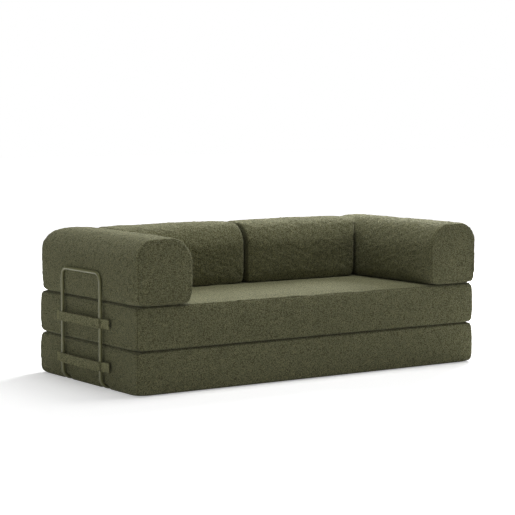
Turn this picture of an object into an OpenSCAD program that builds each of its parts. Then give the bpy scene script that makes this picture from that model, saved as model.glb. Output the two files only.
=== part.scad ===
// Sofa bed: two hinged mattress layers, two arm cushions, two back cushions, and
// four bent-tube brackets strapped to the layers. X runs along the seat, the front
// faces -Y, and the floor is z = 0 under the middle of the whole piece.

/* [Mattress layers] */
// Width over the side seams
sofa_w = 2000; // [1700:10:2400]
// Depth over the front and rear seams
sofa_d = 946; // [900:2:1150]
// Thickness of one mattress layer
layer_h = 205; // [170:5:240]
// Radius of the soft edges round a layer
edge_r = 20; // [16:1:30]
// Radius of the two edges that meet in the crease between the layers
crease_r = 14; // [10:1:20]
// Swell of a face past its seams
crown = 8; // [4:0.5:12]
// Swell of the seat between arms and backs
seat_swell = 7; // [3:0.5:12]
// Least thickness of cover and fibre wrap, at a corner
wrap_t = 3; // [2:0.5:6]

/* [Arm cushions] */
// Width of an arm between its seams
arm_w = 290; // [240:2:320]
// Length of an arm between its end seams
arm_l = 938; // [800:2:1100]
// Overhang of an arm's front seam past the seat's
arm_overhang = 12; // [0:1:20]
// Height of an arm above the seat, to its top seam
arm_h = 304; // [260:2:360]
// Radius of an arm's top edge on the outer side
arm_outer_r = 88; // [60:1:110]
// Radius of an arm's top edge on the sitting side
arm_inner_r = 112; // [80:1:125]
// Radius of the edge round an end panel
panel_r = 20; // [12:1:22]

/* [Back cushions] */
// Depth of a back cushion between its seams
back_d = 342; // [300:2:380]
// Height of a back cushion above the seat, to its top seam
back_h = 305; // [260:1:360]
// Radius of the top front edge of a back cushion
back_front_r = 104; // [80:1:125]
// Radius of the top rear edge of a back cushion
back_rear_r = 165; // [60:1:170]

/* [Brackets] */
// Outer diameter of the bent tube
tube_d = 16; // [12:1:20]
// Wall of the tube, seen at its open ends
tube_wall = 1.5; // [1:0.1:2.5]
// Distance between the two uprights, centre to centre
leg_span = 364; // [300:2:420]
// Height of the middle of the top bar
bar_z = 541; // [480:1:580]
// Bend radius of the two top corners, at the middle of the tube
top_bend_r = 40; // [30:1:60]
// Bend radius where an upright turns under the base
foot_bend_r = 48; // [40:1:60]
// Straight run of a foot under the base, to its end cap
foot_run = 190; // [120:5:260]
// Offset of the side brackets behind the middle of the depth
side_bracket_back = 16; // [0:1:90]
// Length of the plug of an end cap
plug_l = 14; // [8:1:24]
// Thickness of the head of an end cap
cap_head = 3; // [2:0.5:6]

/* [Straps] */
// Width of a strap
strap_w = 46; // [36:1:56]
// Thickness of a strap
strap_t = 5; // [3:0.5:7]
// Height of the middle of the lower strap
lower_strap_z = 108; // [90:1:120]
// Height of the middle of the upper strap
upper_strap_z = 309; // [280:1:330]
// Length over which a strap climbs from the cushion onto an upright
strap_ramp = 32; // [28:1:50]
// Length of the tab at the front end of a side strap
front_tab = 40; // [30:1:60]
// Length of the tab at the rear end of a side strap
rear_tab = 26; // [20:1:50]
// Thickness of the hook tape under a tab
hook_t = 1.5; // [1:0.1:3]
// Margin of bare strap round the hook tape
hook_margin = 3; // [1:0.5:6]

/* [Zips and grip pad] */
// Width of a zip's tape
zip_w = 26; // [20:1:34]
// Depth of the pocket that a zip lies in
zip_pocket = 4.5; // [4:0.1:6]
// Thickness of the zip's tape
zip_tape_t = 1.2; // [0.8:0.1:1.5]
// Width of the zip's closed coil
zip_coil_w = 6; // [4:0.5:8]
// Thickness of the zip's coil
zip_coil_t = 1.4; // [1:0.1:1.8]
// Distance of a zip's middle from the rear or outer seam
zip_in = 62; // [50:1:80]
// Distance of a zip's end from the cover's end seam
zip_end = 60; // [50:1:90]
// Thickness of the non-slip pad under the base
pad_t = 1.5; // [1:0.1:3]
// Distance of the pad's edge from the base's seams
pad_in = 42; // [38:1:70]

/* [Hidden] */
$fn = 48;

// Clearances: between a foam core and its cover, between layers, between neighbours
core_fit = 0.3;
layer_gap = 0.3;
side_gap = 0.3;
// Clearances: tube to cushion, strap to tube, tape to cushion, tube in its channel
tube_gap = 0.5;
strap_ease = 0.3;
tape_gap = 0.3;
channel_gap = 2;
plug_fit = 0.05;
// Overrun that serves every cut
cut = 1;
// Slider and pull of a zip
slider_l = 12;
slider_w = 9;
slider_t = 0.9;
pull_l = 28;
pull_w = 7;
pull_t = 0.8;
// Fabric hinge: where it starts and ends inside the front crease, and its end margin
hinge_front = 5;
hinge_rear = 10;
hinge_ease = 0.3;
hinge_end = 2 * edge_r;

// Colours of cloth, foam, steel, plastic, tape and pad
cloth = [0.36, 0.35, 0.25];
foam = [0.86, 0.82, 0.66];
steel = [0.42, 0.41, 0.31];
dark = [0.16, 0.16, 0.13];
pad_tone = [0.22, 0.22, 0.18];

// Inset of a foam core from the seams, so that its corners stay under the cover
core_in = edge_r * (1 - 1 / sqrt(3)) + wrap_t;
tube_r = tube_d / 2;
// Distances from a swollen face to the uprights' middle and to a strap's outer face
leg_out = tube_gap + tube_r;
bracket_out = tube_gap + tube_d + strap_ease + strap_t;
tab_out = tape_gap + hook_t + strap_t / 2;
band_out = bracket_out - strap_t / 2;
// Depth positions: the rear brackets stand behind, so the cushions sit forward of y = 0
mid_y = -bracket_out / 2;
front_y = mid_y - sofa_d / 2;
rear_y = mid_y + sofa_d / 2;
// Heights of the two resting planes
seat_z = layer_h + layer_gap / 2;
top_z = 2 * layer_h + layer_gap;
// Back cushions between the arms
back_inner_x = crown + side_gap / 2;
back_outer_x = sofa_w / 2 - arm_w - 2 * crown - side_gap;
back_w = back_outer_x - back_inner_x;
back_x = (back_outer_x + back_inner_x) / 2;
back_y = rear_y - back_d / 2;
arm_x = sofa_w / 2 - arm_w / 2;
arm_y = front_y - arm_overhang + arm_l / 2;
// Sitting area, as shares of a layer's half length and half depth
sit_x_share = (back_outer_x - crown) / (sofa_w / 2 - edge_r);
sit_y_share = 1 - (back_d + 2 * crown) / (sofa_d / 2 - edge_r);

// Shares of the way in from an end panel's edge to its middle, for its rings
cap_shares = [0.92, 0.62, 0.3];
// Shares of a cushion's half length at which its swell is drawn
stop_shares = [0.93, 0.74, 0.4];
// Shares along a long face and a short face at which its swell is drawn
long_shares = [-0.72, -0.36, 0, 0.36, 0.72];
short_shares = [-0.45, 0.45];
// Roundness kept by the corners of the innermost rings
corner_share = 0.1;
edge_steps = 3;
top_steps = 5;

// Swell along a face whose ends are at -1 and 1: flat in the middle, drawn in at the seams
function swell(t) = 1 - pow(abs(t), 4);

// Corner arc of a section, from angle a, in steps
function arc(cy, cz, r, a, steps) = [
  for (i = [0 : steps]) [cy + r * cos(a + 90 * i / steps), cz + r * sin(a + 90 * i / steps)]
];

// Points along one face from p to q, pushed outwards by out at each share
function face(p, q, shares, out) = let (along = (q - p) / norm(q - p)) [
  for (t = shares) (p + q) / 2 + (q - p) * t / 2 + [along[1], -along[0]] * out * swell(t)
];

// Closed outline of a cushion's section, inset by d. radii are bottom left, bottom
// right, top right and top left; outs are the swells of bottom, right and left faces;
// rise(t) lifts the top face at share t across it, towards +Y.
function section(w, h, radii, d, outs, top_shares, rise) =
  let (
    half = min(w, h) / 2,
    r = [for (k = radii) max(k - d, corner_share * (half - d))],
    y = w / 2 - d,
    bl = arc(-y + r[0], d + r[0], r[0], 180, edge_steps),
    br = arc(y - r[1], d + r[1], r[1], 270, edge_steps),
    tr = arc(y - r[2], h - d - r[2], r[2], 0, top_steps),
    tl = arc(-y + r[3], h - d - r[3], r[3], 90, top_steps),
    p = tr[top_steps],
    q = tl[0]
  )
  concat(
    bl, face(bl[edge_steps], br[0], short_shares, outs[0]),
    br, face(br[edge_steps], tr[0], short_shares, outs[1]),
    tr, [for (i = [len(top_shares) - 1 : -1 : 0]) let (t = top_shares[i])
      [(p[0] + q[0]) / 2 + (p[0] - q[0]) * t / 2, p[1] + rise(t)]],
    tl, face(tl[top_steps], bl[0], short_shares, outs[2])
  );

// Rings of one half of a cushion, from its end panel's middle inwards: [x, inset, share]
function half_rings(l, half, end_r, stops) = concat(
  [for (c = cap_shares) [l / 2 + crown * (1 - pow(1 - c, 4)), end_r + (half - end_r) * c, 1]],
  [for (k = [0 : edge_steps]) let (a = 90 * k / edge_steps)
    [l / 2 - end_r * (1 - cos(a)), end_r * (1 - sin(a)), 1]],
  [for (s = stops) [(l / 2 - end_r) * s, 0, s]]
);

// Upholstered form l long in X, w wide and h high, with its flat underside on z = 0.
// Every ring is the same outline, inset round the ends and swollen in the middle.
module cushion(l, w, h, radii, end_r, stops, outs, top_shares, rise) {
  half = min(w, h) / 2;
  near = half_rings(l, half, end_r, stops);
  last = len(near) - 1;
  rings = concat(
    [for (r = near) [-r[0], r[1], -r[2]]],
    [[0, 0, 0]],
    [for (i = [last : -1 : 0]) near[i]]
  );
  loops = [for (r = rings)
    section(w, h, radii, r[1], outs * swell(r[2]), top_shares, function(t) rise(r[2], t))];
  n = len(loops[0]);
  m = len(rings);
  poles = [for (s = [-1, 1]) [s * (l / 2 + crown), 0, h / 2]];
  points = [for (i = [0 : m - 1]) for (p = loops[i]) [rings[i][0], p[0], p[1]]];
  walls = [for (i = [0 : m - 2]) for (j = [0 : n - 1])
    let (a = i * n + j, b = i * n + (j + 1) % n) each [[a, a + n, b + n], [a, b + n, b]]];
  ends = [for (j = [0 : n - 1]) let (k = (j + 1) % n, far = (m - 1) * n)
    each [[j, k, m * n], [far + k, far + j, m * n + 1]]];
  polyhedron(points = concat(points, poles), faces = concat(walls, ends), convexity = 4);
}

// Foam core: the same block inset on all sides, with round top edges where it has them
module core(l, w, h, left_r, right_r, inset) {
  rotate([90, 0, 90]) translate([0, 0, -l / 2 + inset]) linear_extrude(l - 2 * inset) intersection() {
    translate([-w / 2 + inset, inset]) square([w - 2 * inset, h - 2 * inset]);
    union() {
      translate([-w / 2 + left_r, inset]) square([w - left_r - right_r, h - 2 * inset]);
      translate([-w / 2 + inset, inset]) square([left_r - inset, h - left_r - inset]);
      translate([w / 2 - right_r, inset]) square([right_r - inset, h - right_r - inset]);
      translate([-w / 2 + left_r, h - left_r]) circle(left_r - inset);
      translate([w / 2 - right_r, h - right_r]) circle(right_r - inset);
    }
  }
}

// Plain block core of a mattress layer
module block(l, w, h, inset) {
  translate([-l / 2 + inset, -w / 2 + inset, inset])
    cube([l - 2 * inset, w - 2 * inset, h - 2 * inset]);
}

// Pocket for a zip l long in X, in an underside at z = 0, and the slit that the zip closes
module zip_pocket_cut(l) {
  translate([-l / 2 - side_gap, -zip_w / 2 - side_gap, -cut])
    cube([l + 2 * side_gap, zip_w + 2 * side_gap, zip_pocket + cut]);
  translate([-l / 2 + zip_w, -zip_coil_w / 2, -cut])
    cube([l - 2 * zip_w, zip_coil_w, core_in + 2 * cut]);
}

// Closed zip l long in X: tape against the pocket's top, coil, slider and pull
module zip(l) {
  coil_z = zip_pocket - zip_tape_t - zip_coil_t;
  translate([-l / 2, -zip_w / 2, zip_pocket - zip_tape_t]) cube([l, zip_w, zip_tape_t]);
  translate([-l / 2, -zip_coil_w / 2, coil_z]) cube([l, zip_coil_w, zip_coil_t]);
  translate([l / 2 - zip_w - slider_l, -slider_w / 2, coil_z - slider_t])
    cube([slider_l, slider_w, slider_t]);
  translate([l / 2 - zip_w - slider_l - pull_l, -pull_w / 2, coil_z - slider_t - side_gap])
    cube([pull_l + slider_l / 2, pull_w, pull_t]);
}

// Layers, each in its own place
seat_radii = [crease_r, crease_r, edge_r, edge_r];
base_radii = [edge_r, edge_r, crease_r, crease_r];
base_h = layer_h - layer_gap / 2 - pad_t;
seat_h = layer_h - layer_gap / 2;
zip_l = sofa_w - 2 * zip_end;
arm_zip_l = arm_l - 2 * zip_end;
back_zip_l = back_w - 2 * zip_end;
sit_stop_shares = [stop_shares[0], sit_x_share, sit_x_share / 2];
sit_y_shares = [-0.8, -0.45, -0.05, sit_y_share, 0.72];

// Lift of the seat's top: a low dome over the sitting area, flat under arms and backs
function seat_rise(s, t) =
  let (across = (2 * t + 1 - sit_y_share) / (1 + sit_y_share))
  seat_swell * max(0, 1 - pow(s / sit_x_share, 2)) * max(0, 1 - pow(across, 4));

module seat_form() {
  cushion(sofa_w, sofa_d, seat_h, seat_radii, edge_r, sit_stop_shares,
    [0, crown, crown], sit_y_shares, function(s, t) seat_rise(s, t));
}

module base_form() {
  cushion(sofa_w, sofa_d, base_h, base_radii, edge_r, stop_shares,
    [0, crown, crown], long_shares, function(s, t) 0);
}

module seat_foam() {
  color(foam) translate([0, mid_y, seat_z]) block(sofa_w, sofa_d, seat_h, core_in + core_fit);
}

module seat_cover() {
  color(cloth) difference() {
    translate([0, mid_y, seat_z]) seat_form();
    translate([0, mid_y, seat_z]) block(sofa_w, sofa_d, seat_h, core_in);
    translate([0, rear_y - zip_in, seat_z]) zip_pocket_cut(zip_l);
  }
}

module seat_zip() {
  color(dark) translate([0, rear_y - zip_in, seat_z]) zip(zip_l);
}

// The base's zip lies in its top face, against the seat
module base_zip_place() {
  translate([0, rear_y - zip_in, layer_h - layer_gap / 2]) mirror([0, 0, 1]) children();
}

module base_foam() {
  color(foam) difference() {
    translate([0, mid_y, pad_t]) block(sofa_w, sofa_d, base_h, core_in + core_fit);
    all_channels(wrap_t + core_fit);
  }
}

module base_cover() {
  color(cloth) difference() {
    translate([0, mid_y, pad_t]) base_form();
    difference() {
      translate([0, mid_y, pad_t]) block(sofa_w, sofa_d, base_h, core_in);
      all_channels(wrap_t);
    }
    all_channels(0);
    base_zip_place() zip_pocket_cut(zip_l);
  }
}

module base_zip() {
  color(dark) base_zip_place() zip(zip_l);
}

module base_grip_pad() {
  color(pad_tone) difference() {
    translate([-sofa_w / 2 + pad_in, front_y + pad_in, 0])
      cube([sofa_w - 2 * pad_in, sofa_d - 2 * pad_in, pad_t]);
    all_channels(0);
  }
}

// Fabric hinge: a soft wedge that fills the front crease between the two layers
module fold_hinge() {
  r = crease_r + hinge_ease;
  lift = crease_r + layer_gap / 2;
  color(cloth) translate([-sofa_w / 2 + hinge_end, front_y, layer_h]) rotate([90, 0, 90])
    linear_extrude(sofa_w - 2 * hinge_end) difference() {
      translate([hinge_front, -crease_r / 2]) square([hinge_rear - hinge_front, crease_r]);
      translate([crease_r, lift]) circle(r);
      translate([crease_r, -lift]) circle(r);
    }
}

// Arms: the left one in place, the right one its mirror image
arm_radii = [edge_r, edge_r, arm_outer_r, arm_inner_r];

module arm_place(side) {
  mirror([side, 0, 0]) translate([-arm_x, arm_y, top_z]) rotate([0, 0, 90]) children();
}

module arm_form() {
  cushion(arm_l, arm_w, arm_h, arm_radii, panel_r, stop_shares,
    [0, crown, crown], short_shares, function(s, t) crown * swell(s) * swell(t));
}

module arm_foam(side) {
  color(foam) arm_place(side)
    core(arm_l, arm_w, arm_h, arm_inner_r, arm_outer_r, core_in + core_fit);
}

module arm_cover(side) {
  color(cloth) arm_place(side) difference() {
    arm_form();
    core(arm_l, arm_w, arm_h, arm_inner_r, arm_outer_r, core_in);
    zip_pocket_cut(arm_zip_l);
  }
}

module arm_zip(side) {
  color(dark) arm_place(side) zip(arm_zip_l);
}

// Backs: the left one in place, the right one its mirror image
back_radii = [edge_r, edge_r, back_rear_r, back_front_r];

module back_place(side) {
  mirror([side, 0, 0]) translate([-back_x, back_y, top_z]) children();
}

module back_form() {
  cushion(back_w, back_d, back_h, back_radii, panel_r, stop_shares,
    [0, crown, crown], short_shares, function(s, t) crown * swell(s) * swell(t));
}

module back_foam(side) {
  color(foam) back_place(side)
    core(back_w, back_d, back_h, back_front_r, back_rear_r, core_in + core_fit);
}

module back_cover(side) {
  color(cloth) back_place(side) difference() {
    back_form();
    core(back_w, back_d, back_h, back_front_r, back_rear_r, core_in);
    zip_pocket_cut(back_zip_l);
  }
}

module back_zip(side) {
  color(dark) back_place(side) zip(back_zip_l);
}

// Brackets, drawn against a swollen face in the plane y = 0 with the outside at +Y.
// The left one stands at the side, the rear ones stand behind a back cushion.
module side_place(side) {
  mirror([side, 0, 0]) translate([-sofa_w / 2 - crown, mid_y + side_bracket_back, 0])
    rotate([0, 0, 90]) children();
}

module rear_place(side) {
  mirror([side, 0, 0]) translate([-back_x, rear_y + crown, 0]) children();
}

// Quarter bend of solid tube about Z, from +X to +Y, at radius r
module bend(r) {
  rotate_extrude(angle = 90) translate([r, 0]) circle(tube_r);
}

module leg_pair() {
  for (s = [0, 1]) mirror([s, 0, 0]) translate([leg_span / 2, 0, 0]) children();
}

// Bent tube: top bar, two round corners, uprights, and feet that turn under the base
module bracket_tube() {
  foot_z = tube_r + foot_bend_r;
  corner_z = bar_z - top_bend_r;
  foot_y = leg_out - foot_bend_r;
  color(steel) difference() {
    union() {
      translate([-leg_span / 2 + top_bend_r, leg_out, bar_z]) rotate([0, 90, 0])
        cylinder(r = tube_r, h = leg_span - 2 * top_bend_r);
      leg_pair() {
        translate([-top_bend_r, leg_out, corner_z]) rotate([90, 0, 0]) bend(top_bend_r);
        translate([0, leg_out, foot_z]) cylinder(r = tube_r, h = corner_z - foot_z);
        translate([0, foot_y, foot_z]) rotate([0, 90, 0]) bend(foot_bend_r);
        translate([0, foot_y, tube_r]) rotate([90, 0, 0]) cylinder(r = tube_r, h = foot_run);
      }
    }
    leg_pair() translate([0, foot_y - foot_run + plug_l + cap_head, tube_r]) rotate([90, 0, 0])
      cylinder(r = tube_r - tube_wall, h = plug_l + cap_head + cut);
  }
}

// End caps: a plug in each foot's open end with a round head over its rim
module bracket_caps() {
  end_y = leg_out - foot_bend_r - foot_run;
  color(dark) leg_pair() translate([0, end_y, tube_r]) rotate([90, 0, 0]) {
    translate([0, 0, -plug_l]) cylinder(r = tube_r - tube_wall - plug_fit, h = plug_l);
    cylinder(r = tube_r, h = cap_head);
  }
}

// Channel pressed into the base's underside by one foot, grown by a wall all round
module channel(grow) {
  z = tube_r + foot_bend_r;
  r = foot_bend_r - tube_r - channel_gap - grow;
  half_w = tube_r + channel_gap + grow;
  end_l = foot_run + cap_head + channel_gap + grow;
  translate([-half_w, leg_out - foot_bend_r, z]) rotate([90, 0, 90]) linear_extrude(2 * half_w) {
    translate([-end_l, -z - cut]) square([end_l, z + cut - r]);
    difference() {
      translate([0, -z - cut]) square([foot_bend_r + tube_r + cut, z + cut]);
      circle(r);
    }
  }
}

module all_channels(grow) {
  for (side = [0, 1]) {
    side_place(side) leg_pair() channel(grow);
    rear_place(side) leg_pair() channel(grow);
  }
}

// Height of a strap's middle line above the face at distance x outside an upright
function ramp_y(x) = band_out - (band_out - tab_out) * (1 - cos(180 * x / strap_ramp)) / 2;

// Middle line of a strap in plan: tab, climb onto an upright, band, and down again
ramp_steps = 8;
function strap_line(tab_a, tab_b) = concat(
  [[-leg_span / 2 - strap_ramp - tab_a, tab_out]],
  [for (i = [ramp_steps : -1 : 0]) let (x = strap_ramp * i / ramp_steps)
    [-leg_span / 2 - x, ramp_y(x)]],
  [for (i = [0 : ramp_steps]) let (x = strap_ramp * i / ramp_steps)
    [leg_span / 2 + x, ramp_y(x)]],
  [[leg_span / 2 + strap_ramp + tab_b, tab_out]]
);

// Direction square to a line at its point i, towards +Y
function square_to(line, i) =
  let (
    a = line[max(i - 1, 0)],
    b = line[min(i + 1, len(line) - 1)],
    along = (b - a) / norm(b - a)
  )
  [-along[1], along[0]];

// Flat ribbon t thick along a line in plan
module ribbon(line, t) {
  last = len(line) - 1;
  polygon(concat(
    [for (i = [0 : last]) line[i] - square_to(line, i) * t / 2],
    [for (i = [last : -1 : 0]) line[i] + square_to(line, i) * t / 2]
  ));
}

module strap(z, tab_a, tab_b) {
  color(cloth) translate([0, 0, z - strap_w / 2]) linear_extrude(strap_w)
    ribbon(strap_line(tab_a, tab_b), strap_t);
}

// Hook tapes under the four tabs of a bracket's two straps
module hook_tapes(tab_a, tab_b) {
  start = leg_span / 2 + strap_ramp + hook_margin;
  h = strap_w - 2 * hook_margin;
  color(dark) for (z = [lower_strap_z, upper_strap_z]) translate([0, tape_gap, z - h / 2]) {
    translate([-start - tab_a + 2 * hook_margin, 0, 0]) cube([tab_a - 2 * hook_margin, hook_t, h]);
    translate([start, 0, 0]) cube([tab_b - 2 * hook_margin, hook_t, h]);
  }
}

seat_foam();
seat_cover();
seat_zip();
base_foam();
base_cover();
base_zip();
base_grip_pad();
fold_hinge();
arm_foam(0);  // left_arm_foam
arm_cover(0);  // left_arm_cover
arm_zip(0);  // left_arm_zip
arm_foam(1);  // right_arm_foam
arm_cover(1);  // right_arm_cover
arm_zip(1);  // right_arm_zip
back_foam(0);  // left_back_foam
back_cover(0);  // left_back_cover
back_zip(0);  // left_back_zip
back_foam(1);  // right_back_foam
back_cover(1);  // right_back_cover
back_zip(1);  // right_back_zip
side_place(0) bracket_tube();  // left_tube
side_place(0) bracket_caps();  // left_caps
side_place(0) strap(upper_strap_z, front_tab, rear_tab);  // left_upper_strap
side_place(0) strap(lower_strap_z, front_tab, rear_tab);  // left_lower_strap
side_place(0) hook_tapes(front_tab, rear_tab);  // left_hook_tapes
side_place(1) bracket_tube();  // right_tube
side_place(1) bracket_caps();  // right_caps
side_place(1) strap(upper_strap_z, front_tab, rear_tab);  // right_upper_strap
side_place(1) strap(lower_strap_z, front_tab, rear_tab);  // right_lower_strap
side_place(1) hook_tapes(front_tab, rear_tab);  // right_hook_tapes
rear_place(0) bracket_tube();  // rear_left_tube
rear_place(0) bracket_caps();  // rear_left_caps
rear_place(0) strap(upper_strap_z, front_tab, rear_tab);  // rear_left_upper_strap
rear_place(0) strap(lower_strap_z, front_tab, rear_tab);  // rear_left_lower_strap
rear_place(0) hook_tapes(front_tab, rear_tab);  // rear_left_hook_tapes
rear_place(1) bracket_tube();  // rear_right_tube
rear_place(1) bracket_caps();  // rear_right_caps
rear_place(1) strap(upper_strap_z, front_tab, rear_tab);  // rear_right_upper_strap
rear_place(1) strap(lower_strap_z, front_tab, rear_tab);  // rear_right_lower_strap
rear_place(1) hook_tapes(front_tab, rear_tab);  // rear_right_hook_tapes
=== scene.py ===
"""Sofa bed in olive teddy cloth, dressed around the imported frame. All lengths are in metres."""

import math
import bpy
import numpy as np
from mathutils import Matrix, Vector


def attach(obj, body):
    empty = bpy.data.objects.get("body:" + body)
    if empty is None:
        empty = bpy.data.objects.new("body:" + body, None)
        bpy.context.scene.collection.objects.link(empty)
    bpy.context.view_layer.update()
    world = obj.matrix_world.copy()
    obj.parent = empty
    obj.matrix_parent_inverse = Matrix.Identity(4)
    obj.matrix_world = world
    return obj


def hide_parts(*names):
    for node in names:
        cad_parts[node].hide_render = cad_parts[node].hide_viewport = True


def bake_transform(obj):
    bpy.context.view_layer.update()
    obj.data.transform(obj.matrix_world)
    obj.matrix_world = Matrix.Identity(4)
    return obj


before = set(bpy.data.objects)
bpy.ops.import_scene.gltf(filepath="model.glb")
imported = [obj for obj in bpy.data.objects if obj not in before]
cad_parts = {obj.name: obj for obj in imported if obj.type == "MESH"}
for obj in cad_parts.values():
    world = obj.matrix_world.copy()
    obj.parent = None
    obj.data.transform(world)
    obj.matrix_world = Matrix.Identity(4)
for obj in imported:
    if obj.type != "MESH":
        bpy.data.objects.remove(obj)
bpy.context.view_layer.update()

# Measures, as in the CAD
SOFA_W, SOFA_D, LAYER_H = 2.0, 0.946, 0.205
EDGE_R, CREASE_R, CROWN, SEAT_SWELL = 0.02, 0.014, 0.008, 0.007
ARM_W, ARM_L, ARM_H, ARM_OVERHANG = 0.29, 0.938, 0.304, 0.012
ARM_OUTER_R, ARM_INNER_R, PANEL_R = 0.088, 0.112, 0.02
BACK_D, BACK_H, BACK_FRONT_R, BACK_REAR_R = 0.342, 0.305, 0.104, 0.165
TUBE_R, TUBE_WALL, LEG_SPAN, BAR_Z = 0.008, 0.0015, 0.364, 0.541
TOP_BEND_R, FOOT_BEND_R, FOOT_RUN = 0.04, 0.048, 0.19
BRACKET_BACK, PLUG_L, CAP_HEAD = 0.016, 0.014, 0.003
STRAP_W, STRAP_T, STRAP_RAMP = 0.046, 0.005, 0.032
LOWER_STRAP_Z, UPPER_STRAP_Z = 0.108, 0.309
FRONT_TAB, REAR_TAB, HOOK_T = 0.04, 0.026, 0.0015
ZIP_POCKET, ZIP_IN, ZIP_END, PAD_T = 0.0045, 0.062, 0.06, 0.0015
GAP, TUBE_GAP, CHANNEL_GAP, WRAP_T = 0.0003, 0.0005, 0.002, 0.003
HINGE_FRONT, HINGE_REAR, HINGE_END = 0.0055, 0.0095, 0.04

# Forms that only the cloth has: corners drawn in, fuller inner sides of the arms and their rounder
# rear tops, a fuller seat, outer ends of the backs that lean over the arms' shoulders, valleys round
# the feet, and fronts of the layers that bulge less than their other faces
CORNER_REACH, CORNER_PULL = 0.06, 0.006
ARM_FULLER, ARM_REAR_DROP, ARM_REAR_REACH, SEAT_FULLER = 0.007, 0.03, 0.15, 0.0025
BACK_LEAN, BACK_LEAN_REACH, FOOT_VALLEY = 0.85, 0.16, 0.05
FRONT_BULGE, FOLD_EASE = 0.7, 0.0015

# The covers' meshes: pitch of their rows, rows on each side of a long seam, and rows round the middle
# line of a foot channel or a zip pocket, close where its edge lies
LAYER_PITCH, LOOSE_PITCH, CORE_PITCH, CORE_EDGE_R = 0.017, 0.0115, 0.05, 0.007
SEAM_ROWS = np.array([0.0, 0.0025, 0.006])
CLOSE_ROWS = np.array([
    -0.0175, -0.0135, -0.0108, -0.0085, -0.004, 0, 0.004, 0.0085, 0.0108, 0.0135, 0.0175])
SEAM_FAR = 0.02

# Their filling: how a cover is held and blown up, and what its seams and its pile add to the skin
CROWN_SHARE, RISE_SHARE = 0.3, 0.45
SEAM_HELD, REST_HELD, PRESSURE, LONGEST_MOVE, FRAMES = 0.004, 0.02, 4.0, 0.006, 20
GROOVE_DEPTH, GROOVE_WIDE = 0.0032, 0.0032
LIP_HEIGHT, LIP_FAR, LIP_WIDE = 0.0007, 0.009, 0.005
PILE_HEIGHT, LOW_WAVE_HEIGHT = 0.0008, 0.0008

# Where the channels and pockets end: full depth inside the first distance, none beyond the second
CHANNEL_EDGE, POCKET_EDGE, POCKET_END = (0.0093, 0.0122), (0.0136, 0.0155), 0.004
CHANNEL_END, VALLEY_START = 0.006, 0.011

# Straps: pitch of their rows, sag of the band, place and width of the thicker edges, and where the
# folded ends stop
STRAP_ROWS, BAND_SAG, HEM_IN, HEM_WIDE, FOLD_OVER = 0.006, 0.0006, 0.004, 0.0028, (0.009, 0.0125)

CORE_IN = EDGE_R * (1 - 1 / math.sqrt(3)) + WRAP_T + GAP
LEG_OUT = TUBE_GAP + TUBE_R
BRACKET_OUT = TUBE_GAP + 2 * TUBE_R + GAP + STRAP_T
TAB_OUT = GAP + HOOK_T + STRAP_T / 2
BAND_OUT = BRACKET_OUT - STRAP_T / 2
MID_Y = -BRACKET_OUT / 2
FRONT_Y, REAR_Y = MID_Y - SOFA_D / 2, MID_Y + SOFA_D / 2
FOLD_Y = FRONT_Y - CROWN
SEAT_Z, TOP_Z = LAYER_H + GAP / 2, 2 * LAYER_H + GAP
SEAT_H, BASE_H = LAYER_H - GAP / 2, LAYER_H - GAP / 2 - PAD_T
BACK_IN_X = CROWN + GAP / 2
BACK_OUT_X = SOFA_W / 2 - ARM_W - 2 * CROWN - GAP
BACK_W, BACK_X = BACK_OUT_X - BACK_IN_X, (BACK_OUT_X + BACK_IN_X) / 2
BACK_Y = REAR_Y - BACK_D / 2
ARM_X, ARM_Y = SOFA_W / 2 - ARM_W / 2, FRONT_Y - ARM_OVERHANG + ARM_L / 2
SIT_X = BACK_OUT_X - CROWN
SIT_BACK_Y = SOFA_D / 2 - BACK_D - 2 * CROWN


# Camera and lamps
def make_camera():
    """Camera fitted to the photograph's edges: a long lens from the front left, a little above the seat."""
    lens = bpy.data.cameras.new("photo_camera")
    lens.sensor_width, lens.lens = 36.0, 123.51
    lens.clip_start, lens.clip_end = 0.1, 100.0
    camera = bpy.data.objects.new("photo_camera", lens)
    camera.location = (-5.0027, -7.2748, 1.3306)
    camera.rotation_euler = (math.pi / 2 - 0.0881, 0.0, -0.60115)
    bpy.context.scene.collection.objects.link(camera)
    bpy.context.scene.camera = camera


def make_lamp(name, place, aim, size, power):
    """Square softbox at place, turned to aim."""
    box = bpy.data.lights.new(name, "AREA")
    box.shape, box.size, box.energy = "SQUARE", size, power
    lamp = bpy.data.objects.new(name, box)
    lamp.location = place
    away = Vector(place) - Vector(aim)
    lamp.rotation_euler = away.to_track_quat("Z", "Y").to_euler()
    bpy.context.scene.collection.objects.link(lamp)


make_camera()
make_lamp("top_box", (0.0, -0.2, 9.0), (0, -0.2, 0.3), 3.2, 225)
make_lamp("top_right_box", (3.2, -0.5, 8.0), (0, 0, 0.3), 3.2, 230)
make_lamp("back_box", (0.5, 3.0, 3.0), (0, 0, 0.3), 2.5, 26)
make_lamp("back_right_box", (4.0, 2.5, 2.6), (0, 0, 0.3), 2.0, 405)
make_lamp("front_box", (-1.0, -5.0, 2.0), (0, 0, 0.3), 3.5, 19)
make_lamp("left_box", (-4.0, -0.8, 0.7), (0, 0, 0.2), 2.0, 18)


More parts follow.
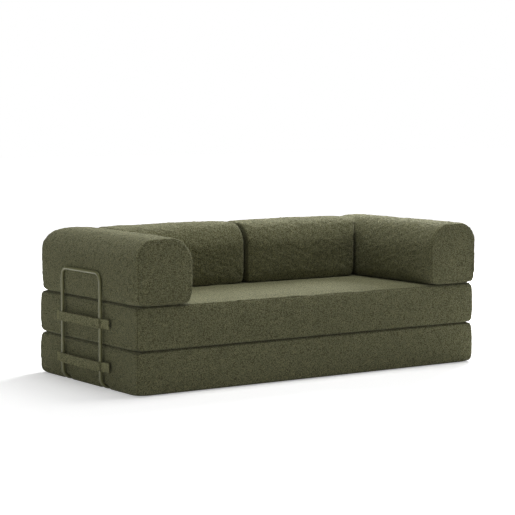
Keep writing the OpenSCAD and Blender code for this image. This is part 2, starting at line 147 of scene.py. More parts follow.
# Shader maths
class Wire:
    """One socket of a material's tree, or a plain number. Arithmetic on it adds Math nodes."""

    def __init__(self, finish, socket):
        self.finish, self.socket = finish, socket

    def maths(self, operation, *values):
        return self.finish.node("ShaderNodeMath", {"operation": operation}, list(values))

    def __add__(self, other):
        return self.maths("ADD", self, other)

    def __radd__(self, other):
        return self.maths("ADD", other, self)

    def __sub__(self, other):
        return self.maths("SUBTRACT", self, other)

    def __rsub__(self, other):
        return self.maths("SUBTRACT", other, self)

    def __mul__(self, other):
        return self.maths("MULTIPLY", self, other)

    def __rmul__(self, other):
        return self.maths("MULTIPLY", other, self)

    def absolute(self):
        return self.maths("ABSOLUTE", self)

    def wave(self, pitch):
        """Sine of this length, once round in each pitch."""
        return self.maths("SINE", self * (2 * math.pi / pitch))

    def between(self, low, high):
        """Smooth step: 0 below low, 1 above high."""
        return self.finish.node(
            "ShaderNodeMapRange", {"interpolation_type": "SMOOTHSTEP"},
            {"Value": self, "From Min": low, "From Max": high})


class Finish:
    """A material and the means to add nodes to it."""

    def __init__(self, name, roughness, **constants):
        self.material = bpy.data.materials.new(name)
        self.material.use_nodes = True
        self.tree = self.material.node_tree
        self.shader = self.tree.nodes["Principled BSDF"]
        self.set("Roughness", roughness)
        for key, value in constants.items():
            self.set(key.replace("_", " "), value)

    def set(self, name, value):
        """Puts a value or a wire into one of the shader's sockets."""
        self.join(self.shader.inputs[name], value)

    def join(self, socket, value):
        if isinstance(value, Wire):
            self.tree.links.new(value.socket, socket)
        elif isinstance(value, tuple) and len(value) == 3 and socket.type == "RGBA":
            socket.default_value = (*value, 1.0)
        else:
            socket.default_value = value

    def node(self, kind, settings=None, values=None, out=0):
        """Adds a node, sets its settings and then its sockets' values or wires, and returns one output."""
        made = self.tree.nodes.new(kind)
        for key, value in (settings or {}).items():
            if key == "stops":
                ramp = made.color_ramp
                while len(ramp.elements) < len(value):
                    ramp.elements.new(1.0)
                for element, (place, colour) in zip(ramp.elements, value):
                    element.position, element.color = place, (*colour, 1.0)
            else:
                setattr(made, key, value)
        pairs = enumerate(values) if isinstance(values, list) else (values or {}).items()
        for key, value in pairs:
            self.join(made.inputs[key], value)
        return Wire(self, made.outputs[out])

    def place(self, scale=(1, 1, 1), shift=(0, 0, 0)):
        """Object coordinates, shifted and scaled."""
        here = self.node("ShaderNodeTexCoord", out="Object")
        return self.node("ShaderNodeMapping", {"vector_type": "POINT"},
                         {"Vector": here, "Location": shift, "Scale": scale})

    def noise(self, where, scale, detail=2.0, roughness=0.5):
        return self.node("ShaderNodeTexNoise", {},
                         {"Vector": where, "Scale": scale, "Detail": detail, "Roughness": roughness})

    def cells(self, where, scale, randomness=1.0, out="Distance"):
        return self.node("ShaderNodeTexVoronoi", {"feature": "F1"},
                         {"Vector": where, "Scale": scale, "Randomness": randomness}, out)

    def blend(self, share, first, second):
        """Colour mix of first and second by share."""
        made = self.tree.nodes.new("ShaderNodeMix")
        made.data_type = "RGBA"
        self.join(made.inputs["Factor"], share)
        self.join(made.inputs[6], first)
        self.join(made.inputs[7], second)
        return Wire(self, made.outputs[2])

    def attribute(self, name):
        return self.node("ShaderNodeAttribute", {"attribute_name": name}, out="Fac")

    def bump(self, height, depth):
        """Normal from a height in the range 0 to 1 that stands for depth metres."""
        self.set("Normal", self.node("ShaderNodeBump", {},
                                     {"Height": height, "Distance": depth, "Strength": 1.0}))


def tone(red, green, blue):
    """Linear colour of an sRGB colour given in 0 to 255."""
    shares = np.array([red, green, blue]) / 255.0
    linear = np.where(shares <= 0.04045, shares / 12.92, ((shares + 0.055) / 1.055) ** 2.4)
    return tuple(linear.tolist())


def shaded(colour, factor):
    return tuple(c * factor for c in colour)


OLIVE = tone(128, 127, 95)


def teddy_cloth(name, olive, curl=0.0041, depth=0.0036, seams=True, strap_light_and_shade=False):
    """Curly pile: small tufts bent by noise, each with its own tone, with painted shade between them and
    painted light on their tips, both taken from their height.

    Wider bands where the pile was brushed another way are a little darker. Painted shade darkens the cover
    along its seams and in the creases where two cushions press together. A strap has no seams; painted
    light lies on its tips instead, and its top rim is darker, with a painted shade line across the ramp by
    its front tab."""
    cloth = Finish(name, 0.95, Specular_IOR_Level=0.08, Sheen_Weight=0.55, Sheen_Roughness=0.35,
                   Sheen_Tint=(*tone(198, 199, 172), 1.0))
    here = cloth.place()
    swirl = cloth.node("ShaderNodeTexNoise", {},
                       {"Vector": here, "Scale": 0.8 / curl, "Detail": 2.0}, "Color")
    shift = cloth.node("ShaderNodeVectorMath", {"operation": "SCALE"},
                       {"Vector": swirl, "Scale": 0.9 * curl})
    bent = cloth.node("ShaderNodeVectorMath", {"operation": "ADD"}, [here, shift])
    curls = 1.0 - cloth.cells(bent, 1 / curl).between(0.05, 0.8)
    own = cloth.node("ShaderNodeSeparateXYZ", {}, {"Vector": cloth.cells(bent, 1 / curl, out="Color")})
    fibres = cloth.noise(here, 2.6 / curl, 3.0, 0.65)
    height = 0.45 * curls + 0.3 * own + 0.25 * fibres
    shade = height.between(0.15, 0.8)
    brushed = cloth.noise(here, 34.0, 2.0, 0.6).between(0.3, 0.7)
    patches = cloth.noise(here, 5.0, 2.0).between(0.3, 0.7)
    specks = cloth.cells(here, 0.3 / curl).between(0.04, 0.1)
    # Painted shade and light of the pile: a dark and a light copy of the olive, chosen by the tufts' height
    colour = cloth.blend(shade, shaded(olive, 0.34), shaded(olive, 1.62))
    colour = cloth.blend(0.22 * brushed, colour, shaded(olive, 0.6))
    colour = cloth.blend(0.14 * patches, colour, shaded(olive, 0.6))
    colour = cloth.blend(0.6 * (1.0 - specks), colour, shaded(olive, 0.2))
    if seams:
        # Painted shade in the grooves along the seams
        near = 1.0 - cloth.attribute("seam_far").between(0.0, 0.005)
        colour = cloth.blend(0.5 * near, colour, shaded(olive, 0.3))
        # Painted crease shade where the cover rests against a neighbouring cushion
        pressed = cloth.attribute("pressed").between(0.6, 1.0)
        colour = cloth.blend(0.6 * pressed, colour, shaded(olive, 0.3))
    if strap_light_and_shade:
        # Painted light on the strap's tips; its top rim is darker, and a painted shade line crosses the
        # ramp by the front tab
        colour = cloth.blend(0.35 * cloth.attribute("tip"), colour, shaded(olive, 1.6))
        colour = cloth.blend(0.6 * cloth.attribute("rim"), colour, shaded(olive, 0.25))
    cloth.set("Base Color", colour)
    cloth.set("Roughness", 0.98 - 0.12 * shade)
    cloth.bump(height, depth)
    return cloth.material


def green_paint():
    """Satin paint on steel tube: a slight orange peel, dust in the finish, and a tone that varies in
    clouds.
    """
    paint = Finish("green_paint", 0.4, Specular_IOR_Level=0.5)
    here = paint.place()
    peel = paint.noise(here, 900.0, 2.0)
    cloud = paint.noise(here, 22.0, 3.0)
    specks = paint.cells(here, 420.0).between(0.04, 0.16)
    colour = paint.blend(cloud.between(0.3, 0.7), tone(114, 114, 76), tone(126, 126, 86))
    colour = paint.blend(0.35 * (1.0 - specks), colour, tone(88, 88, 58))
    paint.set("Base Color", colour)
    paint.set("Roughness", 0.26 + 0.14 * cloud)
    paint.bump(peel, 0.00008)
    return paint.material


def cap_plastic():
    """Black-olive moulded plastic with a fine spark-eroded grain."""
    plastic = Finish("cap_plastic", 0.55)
    here = plastic.place()
    grain = plastic.noise(here, 1600.0, 3.0)
    colour = plastic.blend(grain.between(0.3, 0.7), tone(44, 44, 38), tone(62, 62, 54))
    plastic.set("Base Color", colour)
    plastic.set("Roughness", 0.5 + 0.2 * grain)
    plastic.bump(grain, 0.00012)
    return plastic.material


def upholstery_foam():
    """Cream polyurethane foam: open cells of about 1.5 mm, a little yellower in patches."""
    foam = Finish("upholstery_foam", 0.95, Specular_IOR_Level=0.1)
    here = foam.place()
    pores = foam.cells(here, 650.0).between(0.1, 0.6)
    cloud = foam.noise(here, 6.0, 2.0)
    colour = foam.blend(pores, tone(170, 156, 112), tone(232, 221, 178))
    foam.set("Base Color", foam.blend(0.4 * cloud.between(0.35, 0.7), colour, tone(226, 206, 142)))
    foam.set("Roughness", 0.98 - 0.1 * pores)
    foam.bump(pores, 0.0008)
    return foam.material


def zip_finish(name, centre, along):
    """Woven tape either side of a spiral coil on the line at centre, along X for 0 or along Y for 1."""
    closure = Finish(name, 0.75)
    shift = [0.0, 0.0, 0.0]
    shift[1 - along] = -centre
    here = closure.place(shift=tuple(shift))
    parts = [closure.node("ShaderNodeSeparateXYZ", {}, {"Vector": here}, out=axis) for axis in range(3)]
    run, side = parts[along], parts[1 - along]
    coil = 1.0 - side.absolute().between(0.0027, 0.0035)
    teeth = run.wave(0.0022)
    weave = run.wave(0.0013) * side.wave(0.0013)
    tape = closure.blend(weave.between(-0.6, 0.6), tone(52, 52, 38), tone(74, 74, 56))
    spiral = closure.blend(teeth.between(-0.5, 0.5), tone(30, 30, 24), tone(92, 92, 74))
    closure.set("Base Color", closure.blend(coil, tape, spiral))
    closure.set("Roughness", 0.85 - 0.4 * coil)
    closure.bump(coil * teeth.between(-0.7, 0.7) + (1.0 - coil) * weave * 0.3, 0.0004)
    return closure.material


def hook_tape():
    """Dark hook side of a touch tape: stiff short hooks in a dense field."""
    tape = Finish("hook_tape", 0.8)
    here = tape.place()
    hooks = 1.0 - tape.cells(here, 700.0, 0.5).between(0.1, 0.6)
    tape.set("Base Color", tape.blend(hooks, tone(34, 34, 26), tone(78, 78, 60)))
    tape.set("Roughness", 0.85 - 0.25 * hooks)
    tape.bump(hooks, 0.0007)
    return tape.material


def grip_pad():
    """Non-slip cloth: a dark woven ground with a regular field of rubber dots."""
    pad = Finish("grip_pad", 0.8)
    here = pad.place()
    flat = pad.place(scale=(1, 1, 0))
    dots = 1.0 - pad.cells(flat, 110.0, 0.0).between(0.24, 0.34)
    ground = pad.noise(here, 900.0, 2.0)
    colour = pad.blend(ground.between(0.3, 0.7), tone(50, 50, 40), tone(72, 72, 58))
    pad.set("Base Color", pad.blend(dots, colour, tone(36, 36, 32)))
    pad.set("Roughness", 0.92 - 0.4 * dots)
    pad.bump(0.85 * dots + 0.15 * ground, 0.0009)
    return pad.material


# Meshes
def make_piece(name, points, faces, material, attributes=None, smooth=True):
    """A mesh object at the origin from arrays of points and faces, turned outwards by its volume."""
    triples = points[faces]
    across = np.cross(triples[:, 1] - triples[:, 0], triples[:, -1] - triples[:, 0])
    if np.einsum("ij,ij->", across, triples.mean(1)) < 0:
        faces = faces[:, ::-1]
    mesh = bpy.data.meshes.new(name)
    mesh.vertices.add(len(points))
    mesh.vertices.foreach_set("co", points.astype(np.float32).ravel())
    size = faces.shape[1]
    mesh.loops.add(faces.size)
    mesh.loops.foreach_set("vertex_index", faces.astype(np.int32).ravel())
    mesh.polygons.add(len(faces))
    mesh.polygons.foreach_set("loop_start", np.arange(0, faces.size, size, dtype=np.int32))
    mesh.polygons.foreach_set("use_smooth", np.full(len(faces), smooth))
    mesh.update(calc_edges=True)
    for key, values in (attributes or {}).items():
        mesh.attributes.new(key, "FLOAT", "POINT").data.foreach_set("value", values.astype(np.float32))
    if material is not None:
        mesh.materials.append(material)
    piece = bpy.data.objects.new(name, mesh)
    bpy.context.scene.collection.objects.link(piece)
    return piece


def read_mesh(mesh, keys):
    """Points, quads and point attributes of a mesh made of quads, as arrays."""
    points = np.empty(len(mesh.vertices) * 3, np.float32)
    mesh.vertices.foreach_get("co", points)
    corners = np.empty(len(mesh.loops), np.int32)
    mesh.loops.foreach_get("vertex_index", corners)
    found = {}
    for key in keys:
        values = np.empty(len(mesh.vertices), np.float32)
        mesh.attributes[key].data.foreach_get("value", values)
        found[key] = values.astype(float)
    return points.reshape(-1, 3).astype(float), corners.reshape(-1, 4), found


def normals_of(points, faces):
    """Unit normal of each point: the sum of its faces' area vectors."""
    quads = points[faces]
    area = np.cross(quads[:, 2] - quads[:, 0], quads[:, 3] - quads[:, 1])
    corners = faces.shape[1]
    total = np.stack([
        np.bincount(faces.ravel(), np.repeat(area[:, k], corners), len(points)) for k in range(3)], 1)
    return total / np.maximum(np.linalg.norm(total, axis=1, keepdims=True), 1e-12)


def waves(points, seed, long, short, count=22):
    """Smooth random field of about unit size: a sum of plane waves of lengths from long to short.

    At p it is the sum of cos(2 pi w.p / l + f), over the root of half their count, with a random unit
    way w and a random phase f for each length l."""
    draw = np.random.default_rng(seed)
    ways = draw.normal(size=(count, 3))
    ways /= np.linalg.norm(ways, axis=1, keepdims=True)
    lengths = np.geomspace(long, short, count)
    phases = draw.uniform(0, 2 * math.pi, count)
    turns = points @ (ways * (2 * math.pi / lengths)[:, None]).T + phases
    return np.cos(turns).sum(1) / math.sqrt(count / 2)


def step(values, low, high):
    """Smooth step from 0 at low to 1 at high."""
    share = np.clip((values - low) / (high - low), 0, 1)
    return share * share * (3 - 2 * share)


def even(start, end, pitch):
    """Places from start to end, both included, about pitch apart."""
    return np.linspace(start, end, max(2, int(round(abs(end - start) / pitch)) + 1))


def rows_with(start, end, pitch, lines):
    """Places from start to end about pitch apart, with close rows instead round each of lines."""
    marks = sorted(lines)
    edges = [start] + [m + s for m in marks for s in (CLOSE_ROWS[0], CLOSE_ROWS[-1])] + [end]
    runs = [even(edges[i], edges[i + 1], pitch) for i in range(0, len(edges), 2)]
    return np.unique(np.round(np.concatenate(runs + [m + CLOSE_ROWS for m in marks]), 7))


# Cushions
class Cushion:
    """One upholstered block, long in its own X, with its underside on z = 0.

    Its skin is a ring section carried along X. Each ring is an outline of four sides that meet at the
    middles of four corner arcs, and each end is a patch stretched between the sides of the last ring.
    """

    def __init__(self, length, width, height, radii, end_r, pitch, x_lines=(), y_lines=(), z_lines=(),
                 long_seams=False):
        self.length, self.width, self.height = length, width, height
        self.radii, self.end_r, self.pitch, self.long_seams = radii, end_r, pitch, long_seams
        half = length / 2
        # The rows of a round end lie close round its seam at 45 degrees
        turn = np.radians([90, 72, 57, 50, 45, 40, 33, 18, 0])
        xs = rows_with(-half + end_r, half - end_r, pitch, x_lines)
        tail_x, tail_in = half - end_r * (1 - np.cos(turn[1:])), end_r * (1 - np.sin(turn[1:]))
        self.stations = np.concatenate([-tail_x[::-1], xs, tail_x])
        self.insets = np.concatenate([tail_in[::-1], 0 * xs, tail_in])
        low, right, high, left = radii
        spans = [
            (low, right, -width / 2 + low, width / 2 - right, y_lines),
            (right, high, right, height - high, z_lines),
            (high, left, width / 2 - high, -width / 2 + left, y_lines),
            (left, low, height - left, low, z_lines)]
        plans = [self.side_plan(*span) for span in spans]
        for first, second in ((0, 2), (1, 3)):
            count = max(len(plans[first]), len(plans[second]))
            for k in (first, second):
                if len(plans[k]) != count:
                    plans[k] = self.side_plan(*spans[k][:4], (), count)
        self.plans = plans

    def side_plan(self, r_a, r_b, start, end, lines, count=None):
        """Rows along one side, as a number that rises along it: from 0 to 1 on the first half arc, to 2
        on the straight and to 3 on the last half arc.

        Without a count they are about a pitch apart, with close rows at lines and at both seams."""
        arc_a, arc_b, run = r_a * math.pi / 4, r_b * math.pi / 4, abs(end - start)
        clear = SEAM_ROWS[-1]
        if count is None:
            way = 1 if end > start else -1
            flat = rows_with(0, run, self.pitch, [(m - start) * way for m in lines])
            head = np.concatenate([SEAM_ROWS, even(clear, arc_a, self.pitch)[1:-1]]) / arc_a
            tail = 3 - np.concatenate([SEAM_ROWS, even(clear, arc_b, self.pitch)[1:-1]])[::-1] / arc_b
            return np.concatenate([head, 1 + flat / run, tail])
        total = arc_a + run + arc_b
        inner = np.linspace(clear, total - clear, count - 4)
        place = np.concatenate([SEAM_ROWS[:2], inner, total - SEAM_ROWS[1::-1]])
        return np.where(place < arc_a, place / arc_a,
                        np.where(place < arc_a + run, 1 + (place - arc_a) / run,
                                 2 + (place - arc_a - run) / arc_b))

    def side_points(self, k, insets):
        """Points of side k of rings with the given insets, as an array: ring by row by (y, z)."""
        w, h, rows = self.width / 2, self.height, self.plans[k][None, :]
        half = min(self.width, self.height) / 2
        radius = [np.maximum(r - insets, 0.1 * (half - insets))[:, None] for r in self.radii]
        d = insets[:, None]
        centres = [(-w + d + radius[0], d + radius[0]), (w - d - radius[1], d + radius[1]),
                   (w - d - radius[2], h - d - radius[2]), (-w + d + radius[3], h - d - radius[3])]
        a, b = k, (k + 1) % 4
        angle_a = math.radians(225 + 90 * k)
        angle_m = angle_a + math.pi / 4
        last_arc = np.where(rows > 2, angle_m + (rows - 2) * math.pi / 4, angle_m)
        turn = np.where(rows < 1, angle_a + rows * math.pi / 4, last_arc)
        share = np.clip(rows - 1, 0, 1)
        reach = radius[a] * (1 - share) + radius[b] * share
        points = [centres[a][i] * (1 - share) + centres[b][i] * share + reach * way
                  for i, way in enumerate((np.cos(turn), np.sin(turn)))]
        return np.stack(points, -1)

    def cage(self):
        """All points and quads of the skin, with each point's distance from the nearest seam."""
        n_ring = sum(len(p) - 1 for p in self.plans)
        m = len(self.stations)
        sides = [self.side_points(k, self.insets) for k in range(4)]
        loops = np.concatenate([s[:, :-1] for s in sides], 1)
        tube = np.concatenate([np.broadcast_to(self.stations[:, None, None], (m, n_ring, 1)), loops], 2)
        index = np.arange(m * n_ring).reshape(m, n_ring)
        after = np.roll(index, -1, 1)
        walls = np.stack([index[:-1], index[1:], after[1:], after[:-1]], -1).reshape(-1, 4)
        points, faces = [tube.reshape(-1, 3)], [walls]
        count = m * n_ring
        na, nb = len(self.plans[0]), len(self.plans[1])
        starts = np.cumsum([0] + [len(p) - 1 for p in self.plans])
        for end in (0, m - 1):
            low, right, high, left = [s[end] for s in sides]
            high, left = high[::-1], left[::-1]
            u = self.measure(low) * 0.5 + self.measure(high) * 0.5
            v = self.measure(left) * 0.5 + self.measure(right) * 0.5
            U, V = u[:, None, None], v[None, :, None]
            patch = ((1 - V) * low[:, None] + V * high[:, None] + (1 - U) * left[None] + U * right[None]
                     - (1 - U) * (1 - V) * low[0] - U * (1 - V) * low[-1]
                     - (1 - U) * V * high[0] - U * V * high[-1])
            ids = np.empty((na, nb), int)
            ring = index[end]
            ids[:, 0] = ring[starts[0]:starts[0] + na]
            ids[-1, :] = ring[starts[1]:starts[1] + nb]
            ids[::-1, -1] = ring[starts[2]:starts[2] + na]
            ids[0, ::-1] = np.append(ring[starts[3]:], ring[0])
            inner = patch[1:-1, 1:-1].reshape(-1, 2)
            ids[1:-1, 1:-1] = count + np.arange(len(inner)).reshape(na - 2, nb - 2)
            points.append(np.concatenate([np.full((len(inner), 1), self.stations[end]), inner], 1))
            quads = np.stack([ids[:-1, :-1], ids[1:, :-1], ids[1:, 1:], ids[:-1, 1:]], -1).reshape(-1, 4)
            faces.append(quads if end else quads[:, ::-1])
            count += len(inner)
        points, faces = np.concatenate(points), np.concatenate(faces)
        return points, faces, self.seam_distance(points, index, starts)

    @staticmethod
    def measure(line):
        """Share of a line's length at each of its points."""
        runs = np.concatenate([[0], np.cumsum(np.linalg.norm(np.diff(line, axis=0), axis=1))])
        return runs / runs[-1]

    def seam_distance(self, points, index, starts):
        """Distance of each point from the nearest seam, at most SEAM_FAR.

        An end seam lies in the middle of an end's round edge, and a long seam in that of a corner arc."""
        half = self.length / 2
        far = np.full(len(points), SEAM_FAR)
        rings = np.abs(self.stations)
        bend = np.arcsin(np.clip((rings - half + self.end_r) / self.end_r, 0, 1))
        along = np.where(rings < half - self.end_r, half - self.end_r - rings + self.end_r * math.pi / 4,
                         np.abs(bend - math.pi / 4) * self.end_r)
        far[index] = np.minimum(far[index], along[:, None])
        if self.long_seams:
            around = np.zeros(index.shape[1])
            for k in range(4):
                arc_a, arc_b = self.radii[k] * math.pi / 4, self.radii[(k + 1) % 4] * math.pi / 4
                rows = self.plans[k][:-1]
                around[starts[k]:starts[k + 1]] = np.where(
                    rows < 1, rows * arc_a, np.where(rows > 2, (3 - rows) * arc_b, SEAM_FAR))
            far[index] = np.minimum(far[index], around[None, :])
        return far


def swell(share, power=4):
    """1 in the middle, 0 at -1 and 1."""
    return 1 - np.abs(np.clip(share, -1, 1)) ** power


def crowned(form, points, crown, top_rise):
    """Moves the faces of a plain block outwards: each by crown times the product of two swells."""
    half, w, h = form.length / 2, form.width / 2, form.height
    across_x, across_y, across_z = points[:, 0] / half, points[:, 1] / w, 2 * points[:, 2] / h - 1
    reach = h / 2
    moved = points.copy()
    near_end = step(np.abs(points[:, 0]), half - form.end_r, half)
    edge_far = np.minimum(w - np.abs(points[:, 1]), reach - np.abs(points[:, 2] - h / 2))
    far_in = np.clip(edge_far / reach, 0, 1)
    moved[:, 0] += np.sign(points[:, 0]) * near_end * crown * (1 - (1 - far_in) ** 4)
    side = step(np.abs(points[:, 1]), w - 0.6 * form.end_r, w - 0.001)
    moved[:, 1] += np.sign(points[:, 1]) * side * crown * swell(across_x) * swell(across_z)
    upper = step(points[:, 2], h * 0.6, h - 0.004)
    moved[:, 2] += upper * top_rise(across_x, across_y)
    return moved + corner_moves(form, points)


def corner_moves(form, points):
    """Draws each of a block's eight corners in along its diagonal.

    The move is a product of three shares that fall from 1 at the corner to 0 at CORNER_REACH from it."""
    size = np.array([form.length / 2, form.width / 2, form.height / 2])
    inward = points - np.array([0, 0, form.height / 2])
    near = np.clip(1 - (size - np.abs(inward)) / CORNER_REACH, 0, 1)
    return -CORNER_PULL * near.prod(1)[:, None] * np.sign(inward)


def cloth_moves(name, points, faces, held):
    """How far each point moves when the cover is filled from inside, held at its seams and where it
    rests.

    A move of length d is eased to m tanh(d / m), so that it never passes m, the LONGEST_MOVE."""
    piece = make_piece(name, points, faces, None)
    group = piece.vertex_groups.new(name="held")
    group.add(np.flatnonzero(held).tolist(), 1.0, "REPLACE")
    cloth = piece.modifiers.new("cloth", "CLOTH")
    rules = cloth.settings
    rules.quality, rules.mass = 5, 0.3
    rules.tension_stiffness = rules.compression_stiffness = 15.0
    rules.shear_stiffness, rules.bending_stiffness = 5.0, 0.5
    rules.vertex_group_mass = "held"
    rules.use_pressure, rules.uniform_pressure_force = True, PRESSURE
    rules.effector_weights.gravity = 0.0
    cloth.collision_settings.use_collision = False
    cloth.point_cache.frame_start, cloth.point_cache.frame_end = 1, FRAMES
    scene = bpy.context.scene
    for frame_number in range(1, FRAMES + 1):
        scene.frame_set(frame_number)
    found = piece.evaluated_get(bpy.context.evaluated_depsgraph_get()).to_mesh()
    moved = np.empty(len(points) * 3, np.float32)
    found.vertices.foreach_get("co", moved)
    moves = moved.reshape(-1, 3) - points
    bpy.data.objects.remove(piece)
    scene.frame_set(1)
    far = np.linalg.norm(moves, axis=1, keepdims=True)
    return moves * LONGEST_MOVE * np.tanh(far / LONGEST_MOVE) / np.maximum(far, 1e-9)


def padded_skin(name, form, place, node, body, rests, shape, top_rise=None, seed=1, limit=None):
    """A cushion's cover: cage, cloth simulation, one subdivision, then seams sunk and pile raised.

    place turns the form's own points into world points, rests gives 0 where a world point rests on a
    neighbour and 1 where it is free, shape makes the moves of the smooth skin, such as channels and zip
    pockets, and limit those of the finished one."""
    points, faces, seam_far = form.cage()
    top_rise = top_rise or (lambda x, y: CROWN * swell(x) * swell(y))
    free = rests(place(points))
    world = place(crowned(form, points, CROWN_SHARE * CROWN, lambda x, y: RISE_SHARE * top_rise(x, y)))
    held = (seam_far < SEAM_HELD) | (free < REST_HELD)
    world = world + cloth_moves(name + "_filling", world, faces, held) * free[:, None]
    rough = make_piece(name + "_cage", world, faces, None, {"seam_far": seam_far, "free": free})
    rough.modifiers.new("smooth", "SUBSURF").levels = 1
    fine = bpy.data.meshes.new_from_object(rough.evaluated_get(bpy.context.evaluated_depsgraph_get()))
    world, faces, found = read_mesh(fine, ("seam_far", "free"))
    bpy.data.objects.remove(rough)
    bpy.data.meshes.remove(fine)
    seam_far, free = found["seam_far"], np.clip(found["free"], 0, 1)
    # Painted crease shade where the cover rests on a neighbour, left off faces that look up
    pressed = 1 - free
    world, free = shape(world, free)
    out = normals_of(world, faces)
    pressed *= 1 - step(out[:, 2], 0.85, 0.98)
    groove = -GROOVE_DEPTH * np.exp(-(seam_far / GROOVE_WIDE) ** 2)
    groove += LIP_HEIGHT * np.exp(-((seam_far - LIP_FAR) / LIP_WIDE) ** 2)
    groove *= 1 + 0.35 * waves(world, seed + 50, 0.09, 0.03)
    tufts = PILE_HEIGHT * waves(world, seed, 0.05, 0.016)
    tufts += LOW_WAVE_HEIGHT * waves(world, seed + 90, 0.4, 0.13, 9)
    world = world + out * ((groove + tufts * step(seam_far, 0.001, 0.006)) * free)[:, None]
    if limit is not None:
        world = limit(world)
    piece = make_piece(name, world, faces, CLOTH, {"seam_far": seam_far, "pressed": pressed})
    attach(piece, body)
    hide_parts(node)


def foam_core(name, measures, place, node, body, shape=None, x_lines=(), y_lines=()):
    """A cushion's foam core: the same block, inset under the cover, with softly cut edges."""
    length, width, height, radii = measures
    form = Cushion(length - 2 * CORE_IN, width - 2 * CORE_IN, height - 2 * CORE_IN,
                   [max(r - CORE_IN, CORE_EDGE_R) for r in radii], CORE_EDGE_R, CORE_PITCH,
                   x_lines, y_lines)
    points, faces, _ = form.cage()
    points += 1.2 * corner_moves(form, points)
    points[:, 2] += CORE_IN
    world = place(points)
    if shape is not None:
        world = shape(world)
    piece = make_piece(name, world, faces, FOAM)
    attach(piece, body)
    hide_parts(node)


CLOTH = teddy_cloth("teddy_cloth", OLIVE)
# The straps' cloth is the olive a fifth lighter: painted light, for straps that stand out from the side and
# catch more of it
LIT_STRAP_CLOTH = teddy_cloth(
    "lit_strap_cloth", shaded(OLIVE, 1.2), curl=0.0038, depth=0.0016, seams=False, strap_light_and_shade=True)
FOAM = upholstery_foam()

SIDE_FEET = [MID_Y + BRACKET_BACK + s * LEG_SPAN / 2 for s in (-1, 1)]
REAR_FEET = [a * BACK_X + s * LEG_SPAN / 2 for a in (-1, 1) for s in (-1, 1)]


def in_seat(points):
    return points + np.array([0, MID_Y, SEAT_Z])


def in_base(points):
    return points + np.array([0, MID_Y, PAD_T])


def in_arm(side):
    """Left arm for side -1: the form's X runs back, its +Y points outwards."""
    def place(points):
        return np.stack([side * (ARM_X + points[:, 1]), ARM_Y + points[:, 0], TOP_Z + points[:, 2]], 1)
    return place


def in_back(side):
    """Left back for side -1: the form's +X points to the sofa's middle."""
    def place(points):
        x = side * (BACK_X - points[:, 0])
        return np.stack([x, BACK_Y + points[:, 1], TOP_Z + points[:, 2]], 1)
    return place


def off_face(world, height):
    """0 on a flat resting face at height, and 1 from 12 mm away."""
    return step(np.abs(world[:, 2] - height), 0.0004, 0.012)


def seat_rests(world):
    """Rests on the base, and carries the arms and backs."""
    arms = step(SOFA_W / 2 - ARM_W - CROWN - np.abs(world[:, 0]), 0.0, 0.02)
    backs = step(REAR_Y - BACK_D - CROWN - world[:, 1], 0.0, 0.02)
    top = 1 - step(world[:, 2], TOP_Z - 0.02, TOP_Z - 0.002)
    return off_face(world, SEAT_Z) * np.maximum(arms * backs, top)


def base_rests(world):
    return off_face(world, PAD_T) * off_face(world, LAYER_H - GAP / 2)


def loose_rests(world):
    """Arms and backs rest on the seat and stand against each other at the back corners."""
    side = np.abs(np.abs(world[:, 0]) - (SOFA_W / 2 - ARM_W - CROWN))
    corner = np.maximum(step(side, 0.009, 0.03), step(REAR_Y - BACK_D - world[:, 1], -0.02, 0.02))
    middle = step(np.abs(world[:, 0]), 0.009, 0.03)
    return off_face(world, TOP_Z) * corner * middle


def dome(x, y):
    """Low dome of the sitting area, flat under the arms and backs."""
    front = -SOFA_D / 2 + EDGE_R
    centre, half = (SIT_BACK_Y + front) / 2, (SIT_BACK_Y - front) / 2
    across = np.maximum(0, 1 - (x * SOFA_W / 2 / SIT_X) ** 2)
    deep = np.maximum(0, 1 - ((y * SOFA_D / 2 - centre) / half) ** 4)
    return (SEAT_SWELL + SEAT_FULLER) * across * deep


def zip_pocket(world, centre, half_length, height, way, along):
    """Sinks a flat pocket for a zip on the line at centre, upwards for way 1 and downwards for -1."""
    side = np.abs(world[:, 1 - along] - centre[0])
    run = np.abs(world[:, along] - centre[1])
    inside = (1 - step(side, *POCKET_EDGE)) * (1 - step(run, half_length, half_length + POCKET_END))
    flat = np.abs(world[:, 2] - height) < 0.004
    world = world.copy()
    world[:, 2] += way * (ZIP_POCKET + GAP) * inside * flat
    return world


def flatter_front(world):
    """Lets a layer's front bulge less than its other faces do."""
    world[:, 1] += (1 - FRONT_BULGE) * np.maximum(FRONT_Y - world[:, 1], 0)
    return world


def behind_fold(world):
    """Keeps a layer's front behind the plane in which the two fronts meet when the layers lie level.

    A point that comes nearer to the plane than the ease e, by d, is set e exp(-d / e) behind it."""
    past = np.maximum(FOLD_Y + FOLD_EASE - world[:, 1], 0)
    world[:, 1] = np.where(past > 0, FOLD_Y + FOLD_EASE * np.exp(-past / FOLD_EASE), world[:, 1])
    return world


def seat_shape(world, free):
    world = zip_pocket(world, (REAR_Y - ZIP_IN, 0), SOFA_W / 2 - ZIP_END, SEAT_Z, 1, 0)
    return flatter_front(world), free


